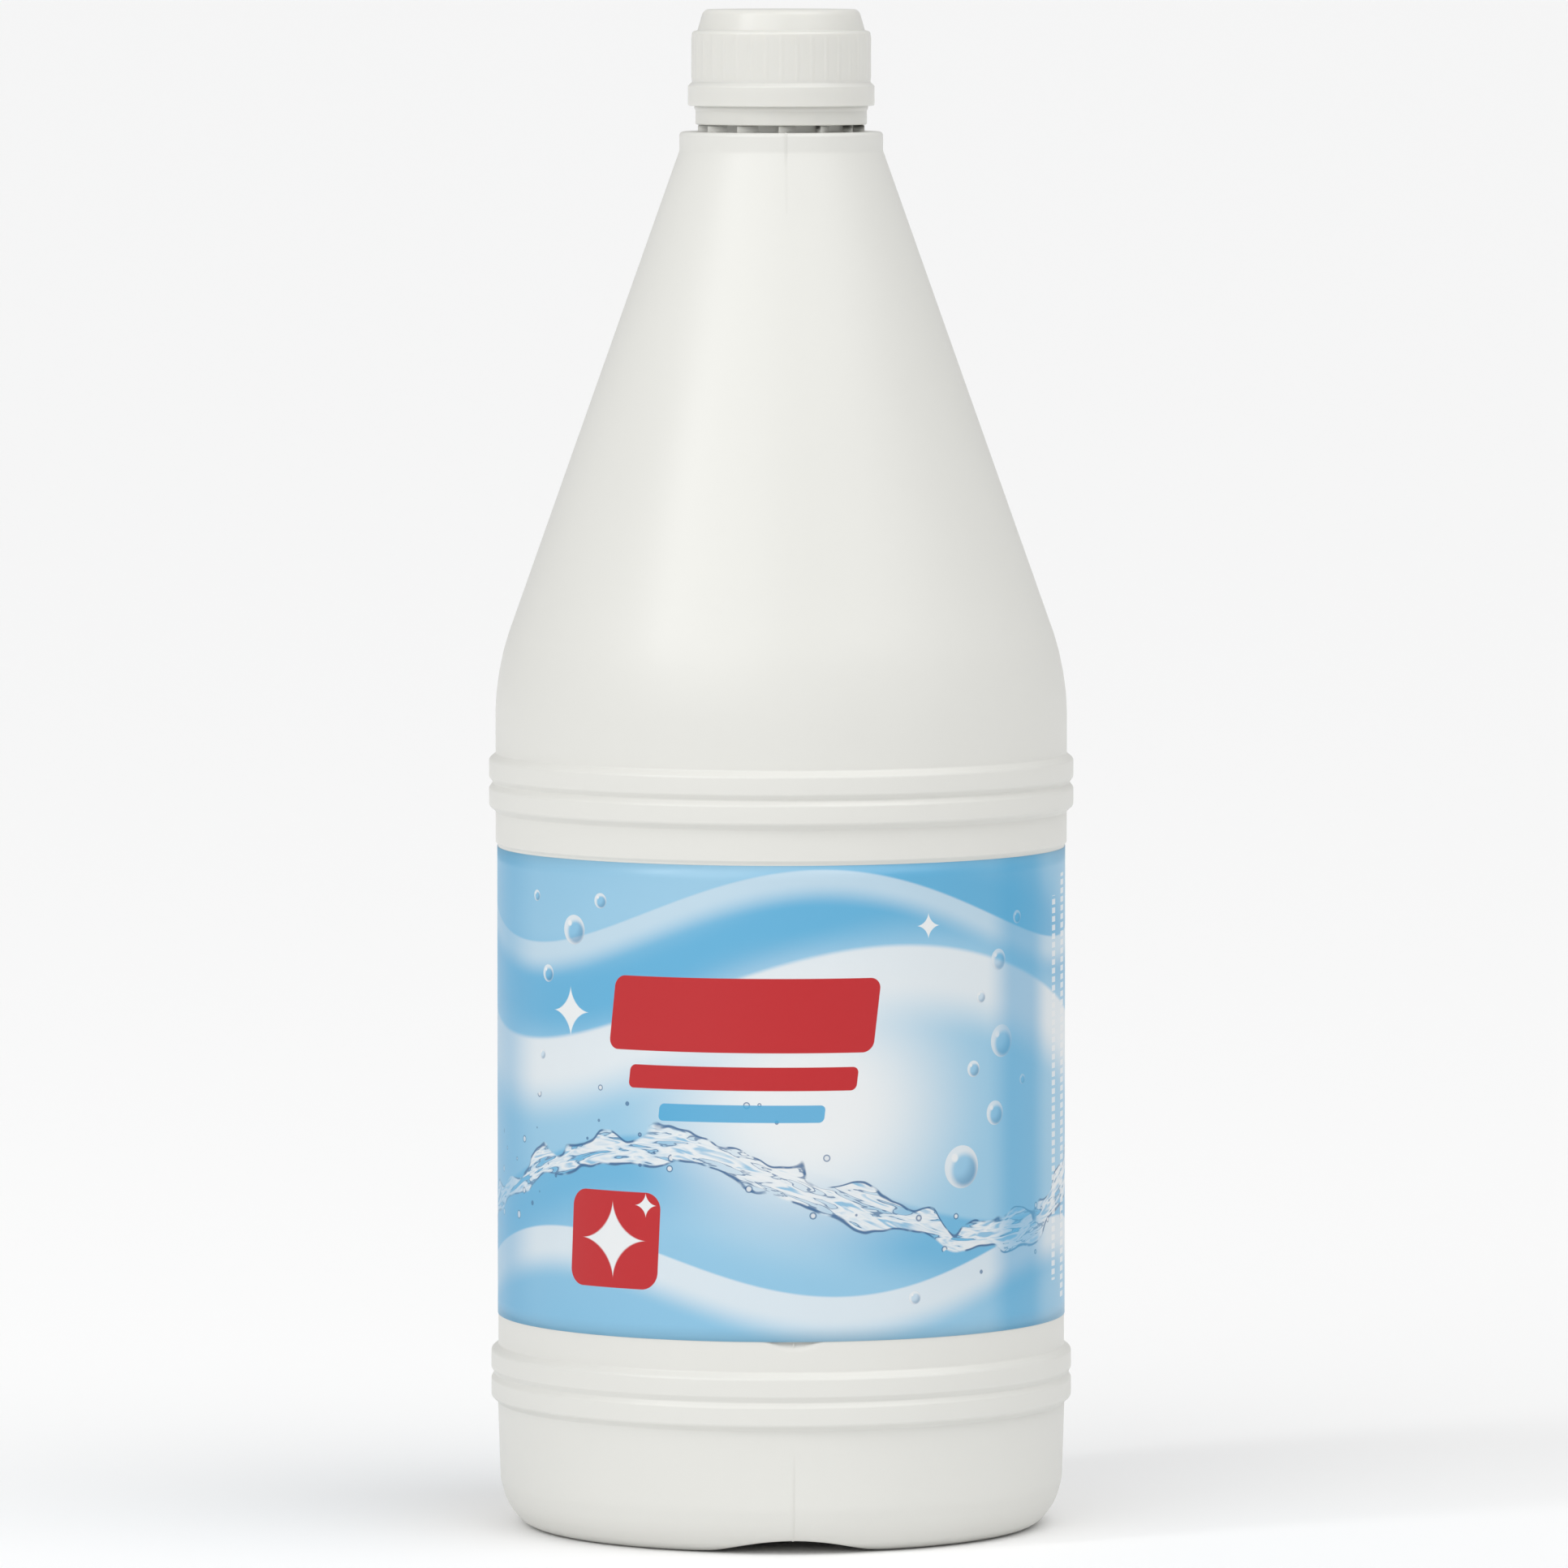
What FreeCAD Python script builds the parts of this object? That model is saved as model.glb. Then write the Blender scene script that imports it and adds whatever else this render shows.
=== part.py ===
import FreeCAD, Part
import math
import os

# Two-litre bleach bottle with a push-and-turn closure
# Lengths are in millimetres and angles in degrees. +Z is up, the front faces -Y,
# and the origin is the middle of the plane that the bottle stands on.

# Bottle body, blow moulded in one piece
BODY_WALL = 0.8
BODY_R = 56.5
SHOULDER_Z = 169.5
SHOULDER_ROUNDING = 55.0
PANEL_R = 56.1
PANEL_TOP_Z = 135.2
PANEL_STEP_H = 0.5
PANEL_EDGE_ROUNDING = 0.2
FOOT_R = 56.2
HEEL_TOP_R = 55.7
HEEL_TOP_Z = 9.0
HEEL_TOP_ROUNDING = 6.0
HEEL_MIDDLE_R = 54.45
HEEL_MIDDLE_Z = 4.6
HEEL_MIDDLE_ROUNDING = 9.0
STANDING_OUTER_R = 50.9
STANDING_INNER_R = 44.5
STANDING_ROUNDING = 5.0
STANDING_INNER_ROUNDING = 3.0
PUSH_UP_R = 39.0
PUSH_UP_EDGE_H = 2.6
PUSH_UP_H = 4.2
PUSH_UP_ROUNDING = 4.0

# Pairs of stiffening rings, above and below the label panel
UPPER_RINGS_Z = 147.5
UPPER_RING_R = 57.8
UPPER_VALLEY_R = 57.0
LOWER_RINGS_Z = 30.3
LOWER_RING_R = 57.5
LOWER_VALLEY_R = 56.9
RING_VALLEY_HALF_W = 1.6
RING_CREST_W = 2.6
RING_FLANK_W = 1.9
RING_CREST_ROUNDING = 0.9
RING_FOOT_ROUNDING = 0.6

# Marks that the mould leaves: its parting plane is turned a little from the front
MOULD_TURN = 2.5
PINCH_CHANNEL_W = 28.0
PINCH_CHANNEL_H = 2.5
LOCATING_RECESS_W = 9.0
LOCATING_RECESS_H = 5.0
LOCATING_RECESS_DEPTH = 0.9
LOCATING_RECESS_SHOWING = 1.6
LOCATING_RECESS_ROUNDING = 1.5

# Collar and neck
COLLAR_R = 20.1
COLLAR_H = 3.8
COLLAR_TOP_Z = 275.9
COLLAR_EDGE_ROUNDING = 0.8
COLLAR_FOOT_ROUNDING = 2.0
COLLAR_WALL = 1.5
LEDGE_ROUNDING = 1.0
NECK_H = 14.7
NECK_BORE_R = 12.0
NECK_R = 13.55
NECK_FOOT_R = 14.2
RIM_ROUNDING = 0.4
RIM_CHAMFER = 0.4
NECK_EDGE_ROUNDING = 0.3
BEAD_R = 15.3
BEAD_FLAT_H = 0.6
BEAD_SLOPE_H = 1.3
BEAD_LIP_ROUNDING = 0.15
BEAD_OVER_RING = 0.1

# Ratchet teeth on the neck, which stop the tamper ring from turning
TOOTH_COUNT = 12
TOOTH_TIP_R = 16.5
TOOTH_H = 1.2
TOOTH_CROWN_H = 1.1
TOOTH_SPAN = 16.0
TOOTH_FIRST_AZIMUTH = -1.7

# Thread of the neck and the inner cap
THREAD_PITCH = 3.6
THREAD_DEPTH = 0.85
THREAD_CREST_W = 0.8
THREAD_FLANK_ANGLE = 30.0
THREAD_ROOT_SINK = 0.3
THREAD_RADIAL_CLEARANCE = 0.35
THREAD_FLANK_CLEARANCE = 0.25
NECK_THREAD_TURNS = 1.3
NECK_THREAD_RISE = 8.7
CAP_THREAD_TURNS = 1.25
CAP_THREAD_LEAD_IN = 0.15

# Tamper ring, which stays on the neck once its bridges have torn
RING_R = 16.9
RING_WALL = 1.05
RING_H = 5.9
RING_EDGE_CHAMFER = 0.25
RING_FLARE = 0.25
RING_FLARE_Z = 2.7
RING_FLARE_H = 1.6
RING_TO_TEETH = 0.2
HOOK_H = 1.2
HOOK_TO_NECK = 0.5
HOOK_TO_BEAD = 0.3
HOOK_LIP_ROUNDING = 0.2
PAWL_R_CLEARANCE = 0.3
PAWL_H = 1.6
PAWL_SPAN = 3.0

# Sealing liner between the neck's rim and the inner cap
LINER_T = 0.8
LINER_EDGE_GAP = 0.45

# Inner cap, which carries the thread
INNER_WALL = 0.95
INNER_CROWN_T = 1.2
INNER_TO_RING = 0.3
INNER_FOOT_ROUNDING = 0.2
INNER_CROWN_ROUNDING = 0.4
SNAP_RIM_H = 1.6
SNAP_RIM_OUT = 0.45
SNAP_RIM_ROUNDING = 0.15

# Outer cap, pushed down against the inner cap to drive it
OUTER_WALL = 1.2
OUTER_TO_INNER = 0.25
OUTER_INSIDE_ROUNDING = 0.3
PUSH_TRAVEL = 1.5
PUSH_SPARE = 0.3
SKIRT_H = 10.4
SKIRT_EDGE_ROUNDING = 0.5
FLANGE_H = 4.2
FLANGE_OUT = 0.8
FLANGE_CHAMFER = 0.5
FLANGE_FOOT_ROUNDING = 0.25
FLANGE_TOP_ROUNDING = 0.2
FLANGE_TO_RING = 0.3
JOGGLE_H = 1.0
KNOB_H = 4.4
KNOB_TOP_R = 15.3
KNOB_FOOT_R = 16.5
KNOB_FOOT_STEP_H = 0.3
KNOB_FOOT_ROUNDING = 0.2
KNOB_EDGE_ROUNDING = 1.3
KNOB_DISH = 0.15
KNOB_DISH_R = 12.6
KNOB_DISH_SLOPE_W = 1.0
KNOB_DISH_ROUNDING = 0.5
SNAP_BEAD_H = 0.6
SNAP_BEAD_SLOPE_H = 0.6
GRIP_RIB_COUNT = 36
GRIP_RIB_OUT = 0.12
GRIP_RIB_W = 0.5
GRIP_RIB_END_GAP = 0.9

# Lugs between the two caps, in mesh only while the outer cap is held down
LUG_COUNT = 8
LUG_SPAN = 18.0
LUG_INNER_R = 8.5
LUG_OUTER_R = 12.0
OUTER_LUG_H = 1.9
LUG_GAP = 0.3

# Wrap-around label
LABEL_T = 0.1
LABEL_H = 92.7
LABEL_TOP_GAP = 0.4
LABEL_GLUE_T = 0.02
LABEL_OVERLAP_W = 9.0

# Heights that follow from the sizes above
RIM_Z = COLLAR_TOP_Z + NECK_H
TOOTH_TOP_Z = COLLAR_TOP_Z + TOOTH_H
RING_BOTTOM_Z = TOOTH_TOP_Z + RING_TO_TEETH
RING_TOP_Z = RING_BOTTOM_Z + RING_H
INNER_BOTTOM_Z = RING_TOP_Z + INNER_TO_RING
LINER_TOP_Z = RIM_Z + LINER_T
INNER_TOP_Z = LINER_TOP_Z + INNER_CROWN_T
SNAP_RIM_Z = INNER_TOP_Z - SNAP_RIM_H
LEDGE_Z = INNER_TOP_Z + PUSH_TRAVEL + PUSH_SPARE
SKIRT_TOP_Z = LEDGE_Z + OUTER_WALL
SKIRT_BOTTOM_Z = SKIRT_TOP_Z - SKIRT_H
OUTER_BOTTOM_Z = SKIRT_BOTTOM_Z - FLANGE_H
OUTER_TOP_Z = SKIRT_TOP_Z + KNOB_H
OUTER_CROWN_Z = OUTER_TOP_Z - OUTER_WALL
BEAD_Z = RING_TOP_Z + BEAD_OVER_RING - BEAD_SLOPE_H - BEAD_FLAT_H
HOOK_TOP_Z = BEAD_Z - HOOK_TO_BEAD
LABEL_TOP_Z = PANEL_TOP_Z - LABEL_TOP_GAP
LABEL_BOTTOM_Z = LABEL_TOP_Z - LABEL_H

# Radii that follow from the sizes above
NECK_THREAD_R = NECK_R + THREAD_DEPTH
INNER_BORE_R = NECK_THREAD_R + THREAD_RADIAL_CLEARANCE
INNER_R = INNER_BORE_R + INNER_WALL
SNAP_RIM_R = INNER_R + SNAP_RIM_OUT
SKIRT_BORE_R = SNAP_RIM_R + OUTER_TO_INNER
SKIRT_R = SKIRT_BORE_R + OUTER_WALL
FLANGE_R = SKIRT_R + FLANGE_OUT
FLANGE_BORE_R = RING_R + RING_FLARE + FLANGE_TO_RING
RING_BORE_R = RING_R - RING_WALL
HOOK_R = NECK_FOOT_R + HOOK_TO_NECK
LINER_R = INNER_BORE_R - LINER_EDGE_GAP
LABEL_R = PANEL_R + LABEL_GLUE_T


def point(radius, height):
    """A point of a section, drawn in the XZ plane."""
    return FreeCAD.Vector(radius, 0, height)


def rounded_edges(corners):
    """Edges through (radius, height, rounding) corners: straight runs joined by tangent arcs."""
    edges = []
    start = point(*corners[0][:2])
    for index in range(1, len(corners) - 1):
        corner = point(*corners[index][:2])
        rounding = corners[index][2]
        back = point(*corners[index - 1][:2]) - corner
        ahead = point(*corners[index + 1][:2]) - corner
        half = back.getAngle(ahead) / 2
        limit = 0.48 * min(back.Length, ahead.Length)
        tangent = min(rounding / math.tan(half), limit)
        if tangent < 0.01:
            edges.append(Part.LineSegment(start, corner).toShape())
            start = corner
            continue
        back.normalize()
        ahead.normalize()
        radius = tangent * math.tan(half)
        inward = (back + ahead).normalize()
        arc_start = corner + back * tangent
        arc_middle = corner + inward * (radius / math.sin(half) - radius)
        arc_end = corner + ahead * tangent
        edges.append(Part.LineSegment(start, arc_start).toShape())
        edges.append(Part.Arc(arc_start, arc_middle, arc_end).toShape())
        start = arc_end
    edges.append(Part.LineSegment(start, point(*corners[-1][:2])).toShape())
    return edges


def turned(corners):
    """Solid of revolution about Z. The outline's last corner runs straight back to its first."""
    edges = rounded_edges(corners)
    edges.append(Part.LineSegment(point(*corners[-1][:2]), point(*corners[0][:2])).toShape())
    section = Part.Face(Part.Wire(edges))
    return section.revolve(FreeCAD.Vector(0, 0, 0), FreeCAD.Vector(0, 0, 1), 360)


def inset(corners, wall):
    """The outline moved inwards by the wall: corners that bulge out lose rounding, others gain it."""
    moved = []
    for index, (radius, height, rounding) in enumerate(corners):
        normals = []
        for near, far in ((index - 1, index), (index, index + 1)):
            if near < 0 or far >= len(corners):
                continue
            run_r = corners[far][0] - corners[near][0]
            run_z = corners[far][1] - corners[near][1]
            length = math.hypot(run_r, run_z)
            normals.append((-run_z / length, run_r / length))
        if len(normals) == 1:
            normals.append(normals[0])
        (first_r, first_z), (last_r, last_z) = normals
        spread = 1 + first_r * last_r + first_z * last_z
        bulges = first_r * last_z - first_z * last_r > 0
        kept = max(rounding - wall, 0) if bulges else rounding + wall
        moved.append((radius + wall * (first_r + last_r) / spread,
                      height + wall * (first_z + last_z) / spread,
                      kept if rounding else 0))
    return moved


def around(shape, count, first_azimuth=0.0):
    """Equally spaced copies about Z. Azimuth 0 is the front, and it grows towards +X."""
    copies = []
    for index in range(count):
        copy = shape.copy()
        turn = first_azimuth + index * 360.0 / count
        copy.rotate(FreeCAD.Vector(0, 0, 0), FreeCAD.Vector(0, 0, 1), turn)
        copies.append(copy)
    return copies


def front_point(radius, azimuth, height):
    """A point at an azimuth from the front."""
    angle = math.radians(azimuth - 90)
    return FreeCAD.Vector(radius * math.cos(angle), radius * math.sin(angle), height)


def sector(inner_r, outer_r, span, bottom_z, height):
    """Block between two radii, centred on the front."""
    block = Part.makeCylinder(outer_r, height, FreeCAD.Vector(0, 0, bottom_z),
                              FreeCAD.Vector(0, 0, 1), span)
    block = block.cut(Part.makeCylinder(inner_r, height, FreeCAD.Vector(0, 0, bottom_z)))
    block.rotate(FreeCAD.Vector(0, 0, 0), FreeCAD.Vector(0, 0, 1), -90 - span / 2)
    return block


def thread_ridge(root_r, crest_r, first_turn, turns, zero_z):
    """Helical ridge with a trapezium section. It starts first_turn turns up from zero_z."""
    depth = abs(crest_r - root_r)
    out = 1 if crest_r > root_r else -1
    half_crest = THREAD_CREST_W / 2
    half_root = half_crest + (depth + THREAD_ROOT_SINK) * math.tan(math.radians(THREAD_FLANK_ANGLE))
    sunk_r = root_r - out * THREAD_ROOT_SINK
    section = Part.makePolygon([
        point(sunk_r, -half_root),
        point(crest_r, -half_crest),
        point(crest_r, half_crest),
        point(sunk_r, half_root),
        point(sunk_r, -half_root),
    ])
    path = Part.Wire(Part.makeHelix(THREAD_PITCH, THREAD_PITCH * turns, root_r).Edges)
    ridge = path.makePipeShell([section], True, True)
    ridge.rotate(FreeCAD.Vector(0, 0, 0), FreeCAD.Vector(0, 0, 1), 360 * first_turn)
    ridge.translate(FreeCAD.Vector(0, 0, zero_z + THREAD_PITCH * first_turn))
    return ridge


def ring_pair(middle_z, crest_r, valley_r, above_r, below_r):
    """Corners of two rings that share a valley, from the lower foot to the upper one."""
    near = RING_VALLEY_HALF_W
    far = near + RING_CREST_W
    foot = far + RING_FLANK_W
    return [
        (below_r, middle_z - foot, RING_FOOT_ROUNDING),
        (crest_r, middle_z - far, RING_CREST_ROUNDING),
        (crest_r, middle_z - near, RING_CREST_ROUNDING),
        (valley_r, middle_z, RING_FOOT_ROUNDING),
        (crest_r, middle_z + near, RING_CREST_ROUNDING),
        (crest_r, middle_z + far, RING_CREST_ROUNDING),
        (above_r, middle_z + foot, RING_FOOT_ROUNDING),
    ]


def pinch_channel(wall):
    """Round trough across the base where the mould pinched the tube of plastic shut."""
    half_w = PINCH_CHANNEL_W / 2
    radius = (half_w ** 2 + PINCH_CHANNEL_H ** 2) / (2 * PINCH_CHANNEL_H)
    trough = Part.makeCylinder(radius + wall, 4 * BODY_R,
                               FreeCAD.Vector(0, -2 * BODY_R, PINCH_CHANNEL_H - radius),
                               FreeCAD.Vector(0, 1, 0))
    return trough


def locating_recess(wall):
    """Shallow pocket on the front seam, which the label's lower edge bridges."""
    width = LOCATING_RECESS_W + 2 * wall
    height = LOCATING_RECESS_H + 2 * wall
    bottom = LABEL_BOTTOM_Z - LOCATING_RECESS_SHOWING - wall
    floor_y = PANEL_R - LOCATING_RECESS_DEPTH - wall
    pocket = Part.makeBox(width, PANEL_R, height,
                          FreeCAD.Vector(-width / 2, -floor_y - PANEL_R, bottom))
    upright = [edge for edge in pocket.Edges
               if abs(edge.tangentAt(edge.FirstParameter).y) > 0.9]
    return pocket.makeFillet(LOCATING_RECESS_ROUNDING + wall, upright)


def neck_teeth():
    """Ratchet teeth at the neck's foot: steep on one side, sloping on the other and on top."""
    root_r = NECK_FOOT_R - THREAD_ROOT_SINK
    height = TOOTH_H + TOOTH_CROWN_H
    outline = Part.makePolygon([
        front_point(root_r, 0, COLLAR_TOP_Z),
        front_point(TOOTH_TIP_R, 0, COLLAR_TOP_Z),
        front_point(root_r, TOOTH_SPAN, COLLAR_TOP_Z),
        front_point(root_r, 0, COLLAR_TOP_Z),
    ])
    tooth = Part.Face(outline).extrude(FreeCAD.Vector(0, 0, height))
    crown = turned([
        (0, COLLAR_TOP_Z, 0),
        (TOOTH_TIP_R + 1, COLLAR_TOP_Z, 0),
        (TOOTH_TIP_R + 1, TOOTH_TOP_Z, 0),
        (TOOTH_TIP_R - RING_EDGE_CHAMFER, TOOTH_TOP_Z, 0),
        (RING_BORE_R - PAWL_R_CLEARANCE, TOOTH_TOP_Z, 0),
        (NECK_FOOT_R, TOOTH_TOP_Z + TOOTH_CROWN_H, 0),
        (0, TOOTH_TOP_Z + TOOTH_CROWN_H, 0),
    ])
    return around(tooth.common(crown), TOOTH_COUNT, TOOTH_FIRST_AZIMUTH)


def body_corners():
    """Outside of the blow-moulded body, from the middle of the base to the collar's foot."""
    return [
        (0, PUSH_UP_H, 0),
        (PUSH_UP_R, PUSH_UP_EDGE_H, PUSH_UP_ROUNDING),
        (STANDING_INNER_R, 0, STANDING_INNER_ROUNDING),
        (STANDING_OUTER_R, 0, STANDING_ROUNDING),
        (HEEL_MIDDLE_R, HEEL_MIDDLE_Z, HEEL_MIDDLE_ROUNDING),
        (HEEL_TOP_R, HEEL_TOP_Z, HEEL_TOP_ROUNDING),
        *ring_pair(LOWER_RINGS_Z, LOWER_RING_R, LOWER_VALLEY_R, PANEL_R, FOOT_R),
        (PANEL_R, PANEL_TOP_Z, PANEL_EDGE_ROUNDING),
        (BODY_R, PANEL_TOP_Z + PANEL_STEP_H, PANEL_EDGE_ROUNDING),
        *ring_pair(UPPER_RINGS_Z, UPPER_RING_R, UPPER_VALLEY_R, BODY_R, BODY_R),
        (BODY_R, SHOULDER_Z, SHOULDER_ROUNDING),
        (COLLAR_R, COLLAR_TOP_Z - COLLAR_H, COLLAR_FOOT_ROUNDING),
    ]


def neck_corners():
    """Outside of the collar and neck, from the collar's top edge to the middle of the mouth."""
    return [
        (COLLAR_R, COLLAR_TOP_Z, COLLAR_EDGE_ROUNDING),
        (NECK_FOOT_R, COLLAR_TOP_Z, NECK_EDGE_ROUNDING),
        (NECK_FOOT_R, BEAD_Z, 0),
        (BEAD_R, BEAD_Z, BEAD_LIP_ROUNDING),
        (BEAD_R, BEAD_Z + BEAD_FLAT_H, NECK_EDGE_ROUNDING),
        (NECK_R, BEAD_Z + BEAD_FLAT_H + BEAD_SLOPE_H, NECK_EDGE_ROUNDING),
        (NECK_R, RIM_Z, RIM_ROUNDING),
        (0, RIM_Z, 0),
    ]


def cavity_corners():
    """Inside of the bottle: the body less its wall, then the ledge under the collar and the bore."""
    inner = inset(body_corners() + [(COLLAR_R, COLLAR_TOP_Z, 0)], BODY_WALL)[:-1]
    return [(0, PUSH_UP_H + BODY_WALL, 0)] + inner[1:] + [
        (COLLAR_R - COLLAR_WALL, COLLAR_TOP_Z - COLLAR_WALL, COLLAR_FOOT_ROUNDING),
        (NECK_BORE_R, COLLAR_TOP_Z - COLLAR_WALL, LEDGE_ROUNDING),
        (NECK_BORE_R, RIM_Z - RIM_CHAMFER, 0),
        (NECK_BORE_R + 2 * RIM_CHAMFER, RIM_Z + RIM_CHAMFER, 0),
        (0, RIM_Z + RIM_CHAMFER, 0),
    ]


def make_bottle():
    """Hollow bottle with its neck finish, in one solid."""
    marks = []
    inner_marks = []
    for cutter, found in ((0, marks), (BODY_WALL, inner_marks)):
        for mark in (pinch_channel(cutter), locating_recess(cutter)):
            mark.rotate(FreeCAD.Vector(0, 0, 0), FreeCAD.Vector(0, 0, 1), MOULD_TURN)
            found.append(mark)
    outside = turned(body_corners() + neck_corners()).cut(marks)
    inside = turned(cavity_corners()).cut(inner_marks)
    ridge = thread_ridge(NECK_R, NECK_THREAD_R, 0, NECK_THREAD_TURNS, COLLAR_TOP_Z + NECK_THREAD_RISE)
    return outside.fuse([ridge] + neck_teeth()).cut(inside)


def make_label():
    """Thin sleeve glued round the panel, with its ends lapped at the back."""
    sleeve = Part.makeCylinder(LABEL_R + LABEL_T, LABEL_H, FreeCAD.Vector(0, 0, LABEL_BOTTOM_Z))
    sleeve = sleeve.cut(Part.makeCylinder(LABEL_R, LABEL_H, FreeCAD.Vector(0, 0, LABEL_BOTTOM_Z)))
    span = math.degrees(LABEL_OVERLAP_W / LABEL_R)
    lap = sector(LABEL_R + LABEL_T / 2, LABEL_R + 2 * LABEL_T, span, LABEL_BOTTOM_Z, LABEL_H)
    lap.rotate(FreeCAD.Vector(0, 0, 0), FreeCAD.Vector(0, 0, 1), 180)
    return sleeve.fuse(lap)


def make_tamper_ring():
    """Ring held under the neck's bead by a hook, with pawls against the ratchet teeth."""
    ring = turned([
        (RING_BORE_R, RING_BOTTOM_Z, 0),
        (RING_R - RING_EDGE_CHAMFER, RING_BOTTOM_Z, 0),
        (RING_R, RING_BOTTOM_Z + RING_EDGE_CHAMFER, 0),
        (RING_R, RING_BOTTOM_Z + RING_FLARE_Z, 0),
        (RING_R + RING_FLARE, RING_BOTTOM_Z + RING_FLARE_Z + 2 * RING_FLARE, 0),
        (RING_R + RING_FLARE, RING_BOTTOM_Z + RING_FLARE_Z + RING_FLARE_H, 0),
        (RING_R, RING_BOTTOM_Z + RING_FLARE_Z + RING_FLARE_H + RING_FLARE, 0),
        (RING_R, RING_TOP_Z, 0),
        (RING_BORE_R, RING_TOP_Z, 0),
        (RING_BORE_R, HOOK_TOP_Z, 0),
        (HOOK_R, HOOK_TOP_Z, HOOK_LIP_ROUNDING),
        (HOOK_R, HOOK_TOP_Z - HOOK_H / 2, 0),
        (RING_BORE_R, HOOK_TOP_Z - HOOK_H, 0),
    ])
    pawl_r = RING_BORE_R - PAWL_R_CLEARANCE
    pawl = sector(pawl_r, RING_BORE_R + RING_WALL / 2, PAWL_SPAN, RING_BOTTOM_Z, PAWL_H)
    first = TOOTH_FIRST_AZIMUTH - PAWL_SPAN
    return ring.fuse(around(pawl, TOOTH_COUNT, first))


def make_liner():
    """Foam disc that seals the neck's rim."""
    return Part.makeCylinder(LINER_R, LINER_T, FreeCAD.Vector(0, 0, RIM_Z))


def make_inner_cap():
    """Threaded cap with a snap rim for the outer cap and a crown of drive lugs."""
    shell = turned([
        (INNER_BORE_R, INNER_BOTTOM_Z, 0),
        (INNER_R, INNER_BOTTOM_Z, INNER_FOOT_ROUNDING),
        (INNER_R, SNAP_RIM_Z, 0),
        (SNAP_RIM_R, SNAP_RIM_Z, SNAP_RIM_ROUNDING),
        (SNAP_RIM_R, INNER_TOP_Z, INNER_CROWN_ROUNDING),
        (0, INNER_TOP_Z, 0),
        (0, LINER_TOP_Z, 0),
        (INNER_BORE_R, LINER_TOP_Z, 0),
    ])
    crest_r = NECK_R + THREAD_RADIAL_CLEARANCE
    mid_width = THREAD_CREST_W + THREAD_DEPTH * math.tan(math.radians(THREAD_FLANK_ANGLE))
    below = mid_width + THREAD_FLANK_CLEARANCE
    zero_z = COLLAR_TOP_Z + NECK_THREAD_RISE - below
    half_root = mid_width / 2 + THREAD_DEPTH * math.tan(math.radians(THREAD_FLANK_ANGLE))
    lowest = INNER_BOTTOM_Z + CAP_THREAD_LEAD_IN + half_root
    first_turn = (lowest - zero_z) / THREAD_PITCH
    ridge = thread_ridge(INNER_BORE_R, crest_r, first_turn, CAP_THREAD_TURNS, zero_z)
    lug_h = OUTER_CROWN_Z - OUTER_LUG_H - LUG_GAP - INNER_TOP_Z
    lug = sector(LUG_INNER_R, LUG_OUTER_R, LUG_SPAN, INNER_TOP_Z, lug_h)
    return shell.fuse([ridge] + around(lug, LUG_COUNT))


def make_outer_cap():
    """Shell with a tapered knob, a lightly ribbed skirt and a flange that covers the tamper ring."""
    bead_top = SNAP_RIM_Z - PUSH_SPARE
    bead_r = INNER_R + OUTER_TO_INNER
    knob_bore_top_r = KNOB_TOP_R - OUTER_WALL
    knob_bore_foot_r = KNOB_FOOT_R - OUTER_WALL
    shell = turned([
        (FLANGE_BORE_R, OUTER_BOTTOM_Z, 0),
        (FLANGE_R, OUTER_BOTTOM_Z, FLANGE_FOOT_ROUNDING),
        (FLANGE_R, SKIRT_BOTTOM_Z - FLANGE_CHAMFER / 2, FLANGE_TOP_ROUNDING),
        (SKIRT_R, SKIRT_BOTTOM_Z + FLANGE_CHAMFER, FLANGE_TOP_ROUNDING),
        (SKIRT_R, SKIRT_TOP_Z, SKIRT_EDGE_ROUNDING),
        (KNOB_FOOT_R, SKIRT_TOP_Z + KNOB_FOOT_STEP_H, KNOB_FOOT_ROUNDING),
        (KNOB_TOP_R, OUTER_TOP_Z, KNOB_EDGE_ROUNDING),
        (KNOB_DISH_R, OUTER_TOP_Z, KNOB_DISH_ROUNDING),
        (KNOB_DISH_R - KNOB_DISH_SLOPE_W, OUTER_TOP_Z - KNOB_DISH, KNOB_DISH_ROUNDING),
        (0, OUTER_TOP_Z - KNOB_DISH, 0),
        (0, OUTER_CROWN_Z, 0),
        (knob_bore_top_r, OUTER_CROWN_Z, OUTER_INSIDE_ROUNDING),
        (knob_bore_foot_r, SKIRT_TOP_Z, 0),
        (knob_bore_foot_r, LEDGE_Z, 0),
        (SKIRT_BORE_R, LEDGE_Z, OUTER_INSIDE_ROUNDING),
        (SKIRT_BORE_R, bead_top, 0),
        (bead_r, bead_top, 0),
        (bead_r, bead_top - SNAP_BEAD_H, 0),
        (SKIRT_BORE_R, bead_top - SNAP_BEAD_H - SNAP_BEAD_SLOPE_H, 0),
        (SKIRT_BORE_R, SKIRT_BOTTOM_Z + JOGGLE_H, 0),
        (FLANGE_BORE_R, SKIRT_BOTTOM_Z, 0),
    ])
    rib_h = SKIRT_H - 2 * GRIP_RIB_END_GAP
    rib = Part.makeBox(GRIP_RIB_W, OUTER_WALL / 2 + GRIP_RIB_OUT, rib_h,
                       FreeCAD.Vector(-GRIP_RIB_W / 2, -SKIRT_R - GRIP_RIB_OUT,
                                      SKIRT_BOTTOM_Z + GRIP_RIB_END_GAP))
    lug = sector(LUG_INNER_R, LUG_OUTER_R, LUG_SPAN, OUTER_CROWN_Z - OUTER_LUG_H, OUTER_LUG_H)
    lugs = around(lug, LUG_COUNT, 180.0 / LUG_COUNT)
    return shell.fuse(around(rib, GRIP_RIB_COUNT) + lugs)


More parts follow.
